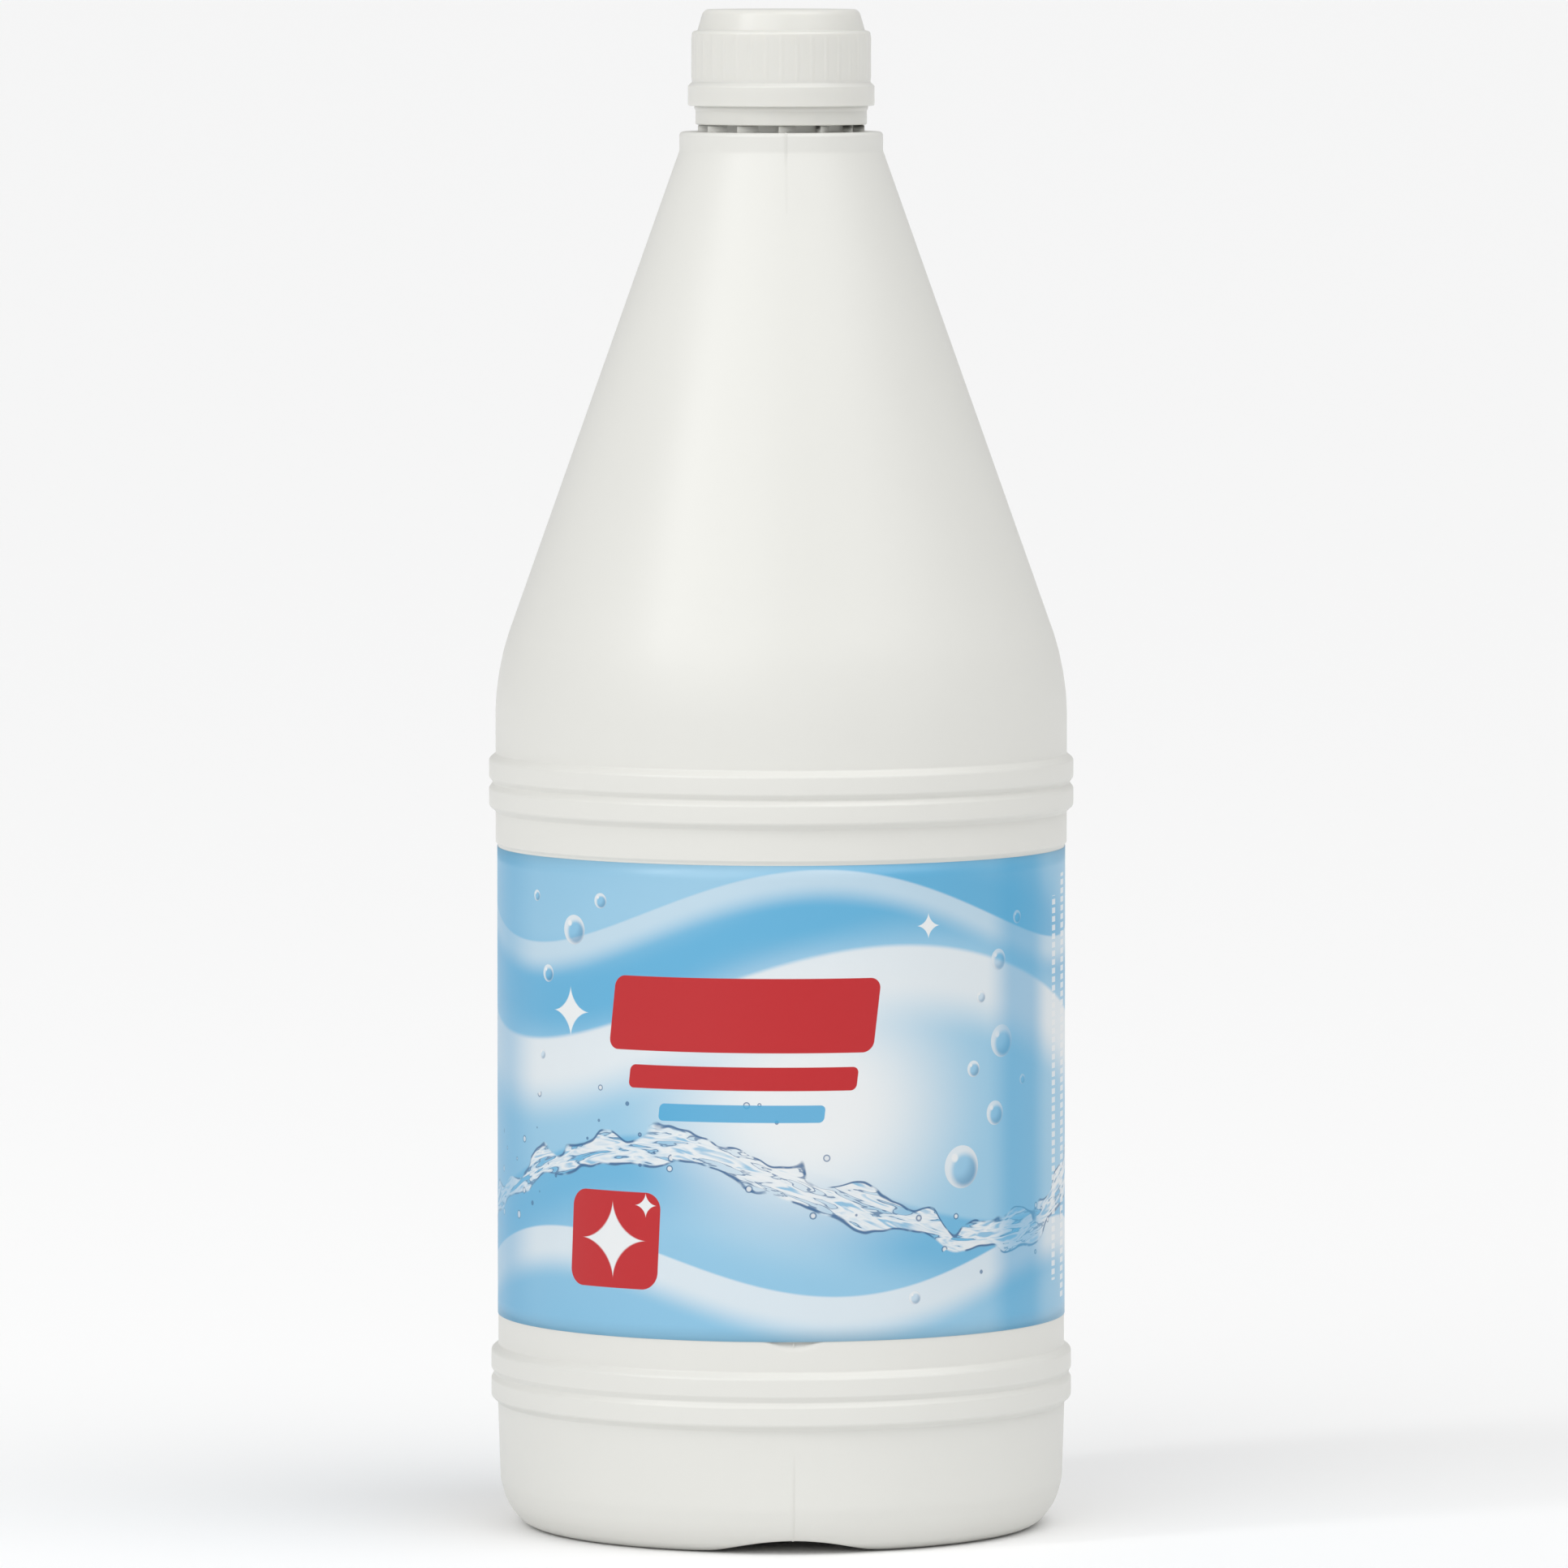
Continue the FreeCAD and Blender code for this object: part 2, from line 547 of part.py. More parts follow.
NODES = {
    "bottle": make_bottle,
    "label": make_label,
    "tamper_ring": make_tamper_ring,
    "liner": make_liner,
    "inner_cap": make_inner_cap,
    "outer_cap": make_outer_cap,
}

os.makedirs("parts", exist_ok=True)
for name, make in NODES.items():
    solid = make()
    solid.exportStep(os.path.join("parts", name + ".step"))
    print(name, "valid", solid.isValid(), "solids", len(solid.Solids),
          "volume", round(solid.Volume, 1), solid.BoundBox)
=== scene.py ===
import bpy, bmesh, math, random
from mathutils import Matrix, Vector


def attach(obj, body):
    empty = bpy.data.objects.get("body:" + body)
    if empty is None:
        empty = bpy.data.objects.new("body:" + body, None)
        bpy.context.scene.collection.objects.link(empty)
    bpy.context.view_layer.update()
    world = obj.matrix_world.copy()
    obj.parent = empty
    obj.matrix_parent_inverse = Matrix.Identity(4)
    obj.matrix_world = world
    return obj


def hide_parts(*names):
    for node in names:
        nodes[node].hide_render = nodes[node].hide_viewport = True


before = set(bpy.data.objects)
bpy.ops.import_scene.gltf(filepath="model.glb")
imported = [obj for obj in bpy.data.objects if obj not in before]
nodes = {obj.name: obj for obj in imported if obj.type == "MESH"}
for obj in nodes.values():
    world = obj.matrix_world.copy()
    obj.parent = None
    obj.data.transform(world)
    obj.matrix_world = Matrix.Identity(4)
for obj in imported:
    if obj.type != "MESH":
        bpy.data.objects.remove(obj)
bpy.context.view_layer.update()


# Bottle: one shell of white polyethylene, blown into a split mould from an extruded tube.
# Its neck is pressed to size in the same mould, with the bead, the thread and the ratchet teeth.
MM = 0.001
UP = Vector((0, 0, 1))
BOTTLE_STEPS = 288
COLLAR_TOP = 275.9
RIM_TOP = 290.6
BORE_R = 12.0
NECK_R = 13.55
NECK_FOOT_R = 14.2
BEAD_R = 15.3
PANEL_R = 56.1
MOULD_TURN = math.radians(2.5)
CHANNEL_HALF_W = 14.0
CHANNEL_H = 2.5
BOTTLE_WALL = 0.8
LONGEST_SHARE = 0.48
DEGREES_A_STEP = 5


def outline(bm, corners, longest=6.0):
    """Edges in the XZ plane through (radius, height, rounding) corners in mm, rounded and divided."""
    verts = [bm.verts.new((radius * MM, 0, height * MM)) for radius, height, _ in corners]
    edges = [bm.edges.new(pair) for pair in zip(verts, verts[1:])]
    spots = [vert.co.copy() for vert in verts]
    for index in range(1, len(corners) - 1):
        rounding = corners[index][2] * MM
        if not rounding:
            continue
        back, ahead = spots[index - 1] - spots[index], spots[index + 1] - spots[index]
        turn = math.pi - back.angle(ahead)
        offset = min(rounding * math.tan(turn / 2), LONGEST_SHARE * min(back.length, ahead.length))
        steps = max(2, round(math.degrees(turn) / DEGREES_A_STEP))
        bmesh.ops.bevel(bm, geom=[verts[index]], offset=offset, offset_type="OFFSET",
                        affect="VERTICES", segments=steps, profile=0.5, material=-1)
    for edge in [e for e in bm.edges if e.calc_length() > longest * MM]:
        cuts = int(edge.calc_length() / (longest * MM))
        bmesh.ops.subdivide_edges(bm, edges=[edge], cuts=cuts)


def turn_up(bm, steps, angle=math.tau, rise=0.0):
    """Spins all that bm holds about Z. A rise in mm makes a helix. A full turn is made of equal sectors."""
    sectors = 12 if angle == math.tau and not rise else 1
    bmesh.ops.spin(bm, geom=bm.verts[:] + bm.edges[:] + bm.faces[:], cent=(0, 0, 0), axis=UP,
                   dvec=(0, 0, rise * MM / steps), angle=angle / sectors, steps=steps // sectors)
    if sectors > 1:
        repeat_round(bm, sectors)
    bmesh.ops.remove_doubles(bm, verts=bm.verts, dist=1e-7)


def repeat_round(bm, count):
    """Equally spaced copies about Z of all that bm holds."""
    bmesh.ops.spin(bm, geom=bm.verts[:] + bm.edges[:] + bm.faces[:], cent=(0, 0, 0), axis=UP,
                   angle=math.tau * (count - 1) / count, steps=count - 1, use_duplicate=True)


def front_spot(radius, azimuth, height):
    """Place in metres from a radius and height in mm. Azimuth 0 is the front and grows towards +X."""
    angle = math.radians(azimuth - 90)
    return Vector((radius * math.cos(angle), radius * math.sin(angle), height)) * MM


def smooth_step(low, high, value):
    share = min(max((value - low) / (high - low), 0), 1)
    return share * share * (3 - 2 * share)


def piece(name, bm, body, material, sharp=35):
    """Finishes a modelled piece: faces outwards, smooth but for its sharp edges, riding on its body."""
    bmesh.ops.recalc_face_normals(bm, faces=bm.faces)
    mesh = bpy.data.meshes.new(name)
    bm.to_mesh(mesh)
    bm.free()
    mesh.shade_smooth()
    mesh.set_sharp_from_angle(angle=math.radians(sharp))
    mesh.materials.append(material)
    made = bpy.data.objects.new(name, mesh)
    bpy.context.scene.collection.objects.link(made)
    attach(made, body)
    return made


def new_finish(name):
    """Empty material with its Principled shader."""
    material = bpy.data.materials.new(name)
    material.use_nodes = True
    return material, material.node_tree, material.node_tree.nodes["Principled BSDF"]


def add_node(tree, kind, **settings):
    node = tree.nodes.new(kind)
    for key, value in settings.items():
        if key in node.inputs:
            node.inputs[key].default_value = value
        else:
            setattr(node, key, value)
    return node


def moulded_plastic(name, light, dark, roughness, grain_size, grain_depth, streaks, milky):
    """Satin off-white plastic: faint cloudiness, a fine pebbled grain and, on the bottle, flow streaks."""
    material, tree, shader = new_finish(name)
    place = add_node(tree, "ShaderNodeTexCoord")
    cloud = add_node(tree, "ShaderNodeTexNoise", Scale=14.0, Detail=3.0, Roughness=0.5)
    tone = add_node(tree, "ShaderNodeValToRGB")
    tone.color_ramp.elements[0].position = 0.35
    tone.color_ramp.elements[0].color = (*dark, 1)
    tone.color_ramp.elements[1].position = 0.65
    tone.color_ramp.elements[1].color = (*light, 1)
    tree.links.new(place.outputs["Object"], cloud.inputs["Vector"])
    tree.links.new(cloud.outputs["Fac"], tone.inputs["Fac"])
    tree.links.new(tone.outputs["Color"], shader.inputs["Base Color"])
    gloss = add_node(tree, "ShaderNodeMapRange")
    gloss.inputs["From Min"].default_value = 0.3
    gloss.inputs["From Max"].default_value = 0.7
    gloss.inputs["To Min"].default_value = roughness - 0.04
    gloss.inputs["To Max"].default_value = roughness + 0.05
    tree.links.new(cloud.outputs["Fac"], gloss.inputs["Value"])
    tree.links.new(gloss.outputs["Result"], shader.inputs["Roughness"])
    grain = add_node(tree, "ShaderNodeTexNoise", Scale=1000 / grain_size, Detail=2.0, Roughness=0.6)
    tree.links.new(place.outputs["Object"], grain.inputs["Vector"])
    pebbles = add_node(tree, "ShaderNodeBump", Strength=1.0, Distance=grain_depth * MM)
    tree.links.new(grain.outputs["Fac"], pebbles.inputs["Height"])
    if streaks:
        stretch = add_node(tree, "ShaderNodeMapping")
        stretch.inputs["Scale"].default_value = (1, 1, 0.04)
        flow = add_node(tree, "ShaderNodeTexNoise", Scale=90.0, Detail=3.0, Roughness=0.55)
        ripple = add_node(tree, "ShaderNodeBump", Strength=1.0, Distance=streaks * MM)
        tree.links.new(place.outputs["Object"], stretch.inputs["Vector"])
        tree.links.new(stretch.outputs["Vector"], flow.inputs["Vector"])
        tree.links.new(flow.outputs["Fac"], ripple.inputs["Height"])
        tree.links.new(ripple.outputs["Normal"], pebbles.inputs["Normal"])
    tree.links.new(pebbles.outputs["Normal"], shader.inputs["Normal"])
    shader.inputs["IOR"].default_value = 1.53
    shader.inputs["Subsurface Weight"].default_value = milky
    shader.inputs["Subsurface Radius"].default_value = (1.0, 0.95, 0.85)
    shader.inputs["Subsurface Scale"].default_value = 2.0 * MM
    return material


bottle_plastic = moulded_plastic("blown_polyethylene", (0.70, 0.698, 0.663), (0.687, 0.685, 0.65),
                                 roughness=0.40, grain_size=0.45, grain_depth=0.006, streaks=0.02, milky=0.0)

HEEL = [
    (0, 4.2, 0),
    (39.0, 2.6, 4.0),
    (44.5, 0, 3.0),
    (50.9, 0, 5.0),
    (54.45, 4.6, 9.0),
    (55.7, 9.0, 6.0),
]


def two_rings(middle, crest, valley, below, above):
    """Corners of a pair of stiffening rings that share a valley."""
    return [
        (below, middle - 5.7, 0.5), (crest, middle - 4.6, 0.8), (crest, middle - 1.1, 0.7),
        (valley, middle, 0.4),
        (crest, middle + 1.1, 0.7), (crest, middle + 4.6, 0.8), (above, middle + 5.7, 0.5),
    ]


BODY = [
    *two_rings(30.3, 57.5, 56.9, 56.2, PANEL_R),
    (PANEL_R, 135.2, 0.25),
    (56.5, 135.7, 0.25),
    *two_rings(147.5, 57.8, 57.0, 56.5, 56.5),
    (56.5, 169.5, 55.0),
    (20.1, 272.1, 2.0),
]
COLLAR_AND_NECK = [
    (20.1, COLLAR_TOP, 0.8),
    (NECK_FOOT_R, COLLAR_TOP, 0.3),
    (NECK_FOOT_R, 281.4, 0),
    (BEAD_R, 281.4, 0.15),
    (BEAD_R, 282.0, 0.3),
    (NECK_R, 283.3, 0.3),
    (NECK_R, RIM_TOP, 0.4),
    (BORE_R, RIM_TOP, 0.4),
    (BORE_R, 285, 0),
]
CAVITY = [
    (BORE_R, 285, 0),
    (BORE_R, 274.4, 1.0),
    (18.6, 274.4, 2.0),
    (19.3, 271.9, 2.0),
    (55.7, 169.4, 54.0),
    (55.7, 136.4, 0),
    (55.3, 134.4, 0),
    (55.3, 24.0, 0),
    (54.9, 9.2, 6.0),
    (53.7, 4.9, 8.0),
    (50.5, 0.8, 4.2),
    (44.7, 0.8, 3.0),
    (39.2, 3.4, 4.0),
    (0, 5.0, 0),
]


def press_channel(bm, wall):
    """Lifts the base into the soft trough where the mould pinched the tube shut, from front to back."""
    across_mould = Vector((math.cos(MOULD_TURN), math.sin(MOULD_TURN), 0))
    radius = (CHANNEL_HALF_W ** 2 + CHANNEL_H ** 2) / (2 * CHANNEL_H)
    soft = 0.9
    for vert in bm.verts:
        height = vert.co.z / MM
        if height > 10:
            continue
        across = vert.co.dot(across_mould) / MM
        trough = CHANNEL_H + wall - across ** 2 / (2 * radius)
        lifted = (height + trough + math.hypot(height - trough, soft)) / 2
        vert.co.z += (lifted - height) * smooth_step(10, 7, height) * MM


def press_recess(bm):
    """Pushes a shallow pocket into the panel's foot, on the front seam, where the label's edge bridges it."""
    front = Vector((math.sin(MOULD_TURN), -math.cos(MOULD_TURN), 0))
    along = Vector((math.cos(MOULD_TURN), math.sin(MOULD_TURN), 0))
    low, high, bend, depth = 40.6, 45.5, 9.4, 0.75

    def near(spot):
        return spot.dot(front) > 0 and abs(spot.dot(along)) < 7.5 * MM and low - 3 < spot.z / MM < high + 2

    edges = {edge for face in bm.faces if near(face.calc_center_median()) for edge in face.edges}
    bmesh.ops.subdivide_edges(bm, edges=list(edges), cuts=4, use_grid_fill=True)
    for vert in filter(lambda item: near(item.co), bm.verts):
        across = abs(vert.co.dot(along)) / MM
        height = vert.co.z / MM
        reach = math.hypot(across, height - low - bend)
        share = smooth_step(bend + 0.4, bend - 1.1, reach) * smooth_step(high + 0.5, high - 0.7, height)
        vert.co -= Vector((vert.co.x, vert.co.y, 0)).normalized() * share * depth * MM


def wall_face(corners, wall):
    """One face of the bottle's wall, turned from its corners and pressed at the base."""
    bm = bmesh.new()
    outline(bm, corners, longest=3.0 + 2 * wall)
    foot = [e for e in bm.edges if max(v.co.z for v in e.verts) < 6.5 * MM and e.calc_length() > 1.3 * MM]
    bmesh.ops.subdivide_edges(bm, edges=foot, cuts=2)
    turn_up(bm, BOTTLE_STEPS)
    press_channel(bm, wall)
    return bm


bm = wall_face(HEEL + BODY + COLLAR_AND_NECK, 0)
press_recess(bm)
outer_face = bpy.data.meshes.new("bottle_outer_face")
bm.to_mesh(outer_face)
bm.free()
bm = wall_face(CAVITY, BOTTLE_WALL)
bm.from_mesh(outer_face)
bmesh.ops.remove_doubles(bm, verts=bm.verts, dist=2e-6)
bottle = piece("bottle_shell", bm, "bottle", bottle_plastic)
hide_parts("bottle")


# Neck thread: a helical ridge of the same shot of plastic, which fades into the neck at both ends.
# It is part of the bottle, and stands on the neck above the bead.
THREAD_PITCH = 3.6
THREAD_TURNS = 1.3
THREAD_FOOT = 284.6
THREAD_DEPTH = 0.85
THREAD_STEPS = 150
THREAD_SUNK = 0.3
THREAD_FADE = 0.09

bm = bmesh.new()
sunk_r = NECK_R - THREAD_SUNK
crest_r = NECK_R + THREAD_DEPTH
section = [(sunk_r, -1.06), (crest_r, -0.4), (crest_r, 0.4), (sunk_r, 1.06)]
bm.faces.new([bm.verts.new((radius * MM, 0, (THREAD_FOOT + height) * MM)) for radius, height in section])
turn_up(bm, THREAD_STEPS, THREAD_TURNS * math.tau, THREAD_PITCH * THREAD_TURNS)
for vert in bm.verts:
    bearing = math.atan2(vert.co.y, vert.co.x) / math.tau
    climbed = (vert.co.z / MM - THREAD_FOOT) / THREAD_PITCH
    turn = bearing + round(climbed - bearing)
    fade = smooth_step(0, THREAD_FADE, min(turn, THREAD_TURNS - turn) + 0.01)
    radius = math.hypot(vert.co.x, vert.co.y)
    sunk = (NECK_R - 0.25) * MM
    if radius > NECK_R * MM:
        scale = (sunk + (radius - sunk) * fade) / radius
        vert.co.x *= scale
        vert.co.y *= scale
piece("neck_thread", bm, "bottle", bottle_plastic)


# Ratchet teeth: twelve wedges moulded round the foot of the neck, steep on their left side.
# They catch the pawls of the tamper ring, so that it can't turn when the cap is first opened.
TOOTH_COUNT = 12
TOOTH_TIP_R = 16.5
TOOTH_TOP = 277.1
TOOTH_SPAN = 16.0
TOOTH_AZIMUTH = -1.7
TOOTH_ROUNDING = 0.08
TOOTH_SLOPE_H = 1.1
TOOTH_SUNK = 0.3

bm = bmesh.new()
foot = [(NECK_FOOT_R - TOOTH_SUNK, TOOTH_AZIMUTH), (TOOTH_TIP_R, TOOTH_AZIMUTH),
        (NECK_FOOT_R - TOOTH_SUNK, TOOTH_AZIMUTH + TOOTH_SPAN)]
face = bm.faces.new([bm.verts.new(front_spot(radius, azimuth, COLLAR_TOP - 0.1)) for radius, azimuth in foot])
for step_up, tip_r in ((TOOTH_TOP - COLLAR_TOP + 0.1, TOOTH_TIP_R), (TOOTH_SLOPE_H, 14.3)):
    grown = bmesh.ops.extrude_face_region(bm, geom=[face])["geom"]
    face = next(item for item in grown if isinstance(item, bmesh.types.BMFace))
    bmesh.ops.translate(bm, verts=face.verts[:], vec=UP * step_up * MM)
    for vert in face.verts:
        radius = math.hypot(vert.co.x, vert.co.y) / MM
        if radius > tip_r:
            vert.co.x *= tip_r / radius
            vert.co.y *= tip_r / radius
bmesh.ops.bevel(bm, geom=bm.edges[:], offset=TOOTH_ROUNDING * MM, offset_type="OFFSET", affect="EDGES",
                segments=2, profile=0.5, material=-1)
repeat_round(bm, TOOTH_COUNT)
piece("ratchet_teeth", bm, "bottle", bottle_plastic, sharp=50)


# Mould seam: the hair-thin fin that the two halves of the mould leave, front and back.
# It is plain to see on the collar and on the heel, and all but gone between.
SEAM_W = 0.2
SEAM_PROUD = 0.14
SEAM_SUNK = 0.3
FAINT_SHARE = 0.3
HEEL_SHARE = 0.6

bm = bmesh.new()
outline(bm, HEEL[2:] + BODY + COLLAR_AND_NECK[:1] + [(19.0, COLLAR_TOP, 0)], longest=2.0)
strip = bmesh.ops.extrude_edge_only(bm, edges=bm.edges[:])["geom"]
far_side = [item for item in strip if isinstance(item, bmesh.types.BMVert)]
bmesh.ops.translate(bm, verts=far_side, vec=(0, SEAM_W * MM, 0))
bmesh.ops.translate(bm, verts=bm.verts, vec=(0, -SEAM_W / 2 * MM, 0))
bmesh.ops.recalc_face_normals(bm, faces=bm.faces)
if sum(face.normal.x for face in bm.faces) < 0:
    bmesh.ops.reverse_faces(bm, faces=bm.faces)
bm.normal_update()
for vert in bm.verts:
    height = vert.co.z / MM
    shown = max(smooth_step(268, 272, height), HEEL_SHARE * smooth_step(22, 14, height))
    faint = FAINT_SHARE * smooth_step(257, 262, height)
    sunk = smooth_step(23, 25, height) * smooth_step(261, 256, height)
    vert.co += vert.normal * (SEAM_PROUD * max(shown, faint) - SEAM_SUNK * sunk) * MM
bmesh.ops.solidify(bm, geom=bm.faces[:], thickness=SEAM_SUNK * MM)
bmesh.ops.rotate(bm, verts=bm.verts, cent=(0, 0, 0), matrix=Matrix.Rotation(MOULD_TURN - math.pi / 2, 3, "Z"))
press_channel(bm, -SEAM_PROUD)
repeat_round(bm, 2)
piece("mould_seam", bm, "bottle", bottle_plastic)


# Pinch-off scar: the ragged weld left on the underside where the tail of the tube was torn away.
# It lies in the channel, along the line of the seam, and stops well short of the standing ring.
SCAR_W = 1.1
SCAR_L = 76.0
SCAR_H = 1.4
SCAR_CUTS = 48
BASE_MIDDLE_H = 4.2
BASE_EDGE_R = 39.0
BASE_EDGE_DROP = 1.6

bm = bmesh.new()
scar = bmesh.ops.create_cube(bm, size=1.0)["verts"]
bmesh.ops.scale(bm, verts=scar, vec=(SCAR_W * MM, SCAR_L * MM, SCAR_H * MM))
long_edges = [edge for edge in bm.edges if edge.calc_length() > SCAR_L / 2 * MM]
bmesh.ops.subdivide_edges(bm, edges=long_edges, cuts=SCAR_CUTS)
ragged = random.Random(4)
for vert in bm.verts:
    reach = abs(vert.co.y) / (SCAR_L / 2 * MM)
    underside = BASE_MIDDLE_H - BASE_EDGE_DROP * abs(vert.co.y) / (BASE_EDGE_R * MM)
    vert.co.x *= 1 - 0.5 * reach ** 4 + ragged.uniform(-0.12, 0.12)
    vert.co.z += (underside + 0.25) * MM
    if vert.co.z < underside * MM:
        vert.co.z += (0.35 * reach ** 4 + ragged.uniform(-0.08, 0.08)) * MM
bmesh.ops.bevel(bm, geom=bm.edges[:], offset=0.12 * MM, offset_type="OFFSET", affect="EDGES",
                segments=1, profile=0.5, material=-1)
bmesh.ops.rotate(bm, verts=bm.verts, cent=(0, 0, 0), matrix=Matrix.Rotation(MOULD_TURN, 3, "Z"))
piece("pinch_scar", bm, "bottle", bottle_plastic)


# Label: a printed film wrapped once round the panel and glued, its ends lapped at the back.
# It bridges the small recess at the panel's foot, and lies in the panel so that nothing scuffs it.
LABEL_R = 56.12
LABEL_T = 0.09
LABEL_H = 92.7
LABEL_FOOT = 42.1
LABEL_LAP = 9.0
LABEL_STEPS = 360
LABEL_ROWS = 30

label_length = math.tau * LABEL_R + LABEL_LAP

bm = bmesh.new()
bmesh.ops.create_grid(bm, x_segments=LABEL_STEPS, y_segments=LABEL_ROWS, size=0.5)
print_map = bm.loops.layers.uv.new("print")
for face in bm.faces:
    for loop in face.loops:
        loop[print_map].uv = (loop.vert.co.x + 0.5, loop.vert.co.y + 0.5)
for vert in bm.verts:
    along = vert.co.x * label_length
    under_lap = label_length / 2 - LABEL_LAP
    radius = LABEL_R + LABEL_T * smooth_step(under_lap - 3, under_lap - 0.5, along)
    vert.co = front_spot(radius, math.degrees(along / LABEL_R), LABEL_FOOT + (vert.co.y + 0.5) * LABEL_H)


def ink(red, green, blue):
    """Printing colour from its 0 to 255 values."""
    return tuple(((part / 255 + 0.055) / 1.055) ** 2.4 for part in (red, green, blue))


SKY = ink(146, 191, 216)
PALE = ink(189, 209, 221)
WHITE = ink(222, 225, 226)
DEEP = ink(59, 157, 201)
NAVY = ink(34, 88, 134)
RED = ink(181, 20, 28)

printed_film, film_tree, film = new_finish("printed_film")


def calc(operation, *values):
    """Output of a Math node on the label's tree. Each value is a number or another node's output."""
    node = add_node(film_tree, "ShaderNodeMath", operation=operation)
    for socket, value in zip(node.inputs, values):
        if isinstance(value, (int, float)):
            socket.default_value = value
        else:
            film_tree.links.new(value, socket)
    return node.outputs["Value"]


def soften(low, high, value):
    """0 below low and 1 above high, with a smooth rise between."""
    node = add_node(film_tree, "ShaderNodeMapRange", interpolation_type="SMOOTHSTEP")
    film_tree.links.new(value, node.inputs["Value"])
    node.inputs["From Min"].default_value = low
    node.inputs["From Max"].default_value = high
    return node.outputs["Result"]


def over(ground, colour, mask, strength=1.0):
    """Prints a colour over the ground where the mask is 1."""
    node = add_node(film_tree, "ShaderNodeMix", data_type="RGBA")
    if strength != 1.0:
        mask = calc("MULTIPLY", mask, strength)
    film_tree.links.new(mask, node.inputs["Factor"])
    film_tree.links.new(ground, node.inputs[6])
    node.inputs[7].default_value = (*colour, 1)
    return node.outputs[2]


sheet_place = add_node(film_tree, "ShaderNodeUVMap", uv_map="print")
split = add_node(film_tree, "ShaderNodeSeparateXYZ")
film_tree.links.new(sheet_place.outputs["UV"], split.inputs["Vector"])
across = calc("MULTIPLY", calc("SUBTRACT", split.outputs["X"], 0.5), label_length)
height = calc("MULTIPLY", split.outputs["Y"], LABEL_H)


def flip(mask):
    """1 where the mask is 0, and 0 where it is 1."""
    return calc("SUBTRACT", 1, mask)


def hypotenuse(run, climb):
    return calc("SQRT", calc("ADD", calc("MULTIPLY", run, run), calc("MULTIPLY", climb, climb)))


def distance(x, y, stretch=1.0):
    """Distance in mm from a place on the label, with heights stretched."""
    run = calc("SUBTRACT", across, x)
    climb = calc("MULTIPLY", calc("SUBTRACT", height, y), stretch)
    return hypotenuse(run, climb)


def swinging(swing, length, shift):
    """Height of a wave of so much swing and length, at each place across the label."""
    angle = calc("ADD", calc("MULTIPLY", across, math.tau / length), shift)
    return calc("MULTIPLY", calc("SINE", angle), swing)


def wave(middle, swing, length, shift, upper, lower, edge_up, edge_down):
    """Mask of a flowing band: so far above and below its line, with an edge of its own on each side."""
    off = calc("SUBTRACT", calc("SUBTRACT", height, middle), swinging(swing, length, shift))
    top = flip(soften(upper - edge_up, upper, off))
    bottom = soften(-lower, -lower + edge_down, off)
    return calc("MULTIPLY", top, bottom)


def plate(x, y, width, tall, rounding, slant=0.0):
    """Mask of a rounded rectangle, its sides slanted a little."""
    leaning = calc("ADD", across, calc("MULTIPLY", height, slant))
    run = calc("ABSOLUTE", calc("SUBTRACT", leaning, x + y * slant))
    climb = calc("ABSOLUTE", calc("SUBTRACT", height, y))
    run = calc("MAXIMUM", calc("SUBTRACT", run, width / 2 - rounding), 0)
    climb = calc("MAXIMUM", calc("SUBTRACT", climb, tall / 2 - rounding), 0)
    return flip(soften(rounding - 0.07, rounding + 0.07, hypotenuse(run, climb)))


def sparkle(x, y, size):
    """Mask of a star with four hollow sides."""
    run = calc("POWER", calc("ABSOLUTE", calc("SUBTRACT", across, x)), 0.6)
    climb = calc("POWER", calc("ABSOLUTE", calc("SUBTRACT", height, y)), 0.6)
    limit = size ** 0.6
    return flip(soften(limit * 0.96, limit * 1.04, calc("ADD", run, climb)))


def upright(low, high, edge):
    """Mask of a field that runs the full height of the label, from one place across it to another."""
    return calc("MULTIPLY", soften(low, low + edge, across), flip(soften(high - edge, high, across)))


base_ink = add_node(film_tree, "ShaderNodeRGB")
base_ink.outputs["Color"].default_value = (*SKY, 1)
art = base_ink.outputs["Color"]
art = over(art, DEEP, soften(48, 100, distance(4, 40)), 0.4)
sloping = calc("ADD", height, calc("MULTIPLY", across, 0.3))
art = over(art, DEEP, flip(soften(-14, 40, sloping)), 0.3)
art = over(art, DEEP, wave(76, 11, 168, 0.5, 14, 13, 12, 11), 0.75)
art = over(art, WHITE, wave(60, 10, 168, 0.7, 7.5, 11, 1.2, 11), 0.85)
art = over(art, PALE, wave(82, 8, 132, 1.2, 2.2, 5.5, 0.6, 5.2), 0.85)
art = over(art, DEEP, wave(25, 9, 150, 2.6, 6.5, 13, 1.4, 12), 0.62)
art = over(art, WHITE, wave(11, 6, 118, 4.1, 4.0, 7, 0.6, 6.6), 0.75)
art = over(art, WHITE, flip(soften(8, 42, distance(6, 46, 1.2))))

sheet = add_node(film_tree, "ShaderNodeCombineXYZ")
film_tree.links.new(across, sheet.inputs["X"])
film_tree.links.new(height, sheet.inputs["Y"])


def mottle(size, detail):
    """Cloudy noise over the label, between about 0.3 and 0.7, in patches of a size in mm."""
    node = add_node(film_tree, "ShaderNodeTexNoise", Scale=1 / size, Detail=detail, Roughness=0.55)
    film_tree.links.new(sheet.outputs["Vector"], node.inputs["Vector"])
    return node.outputs["Fac"]


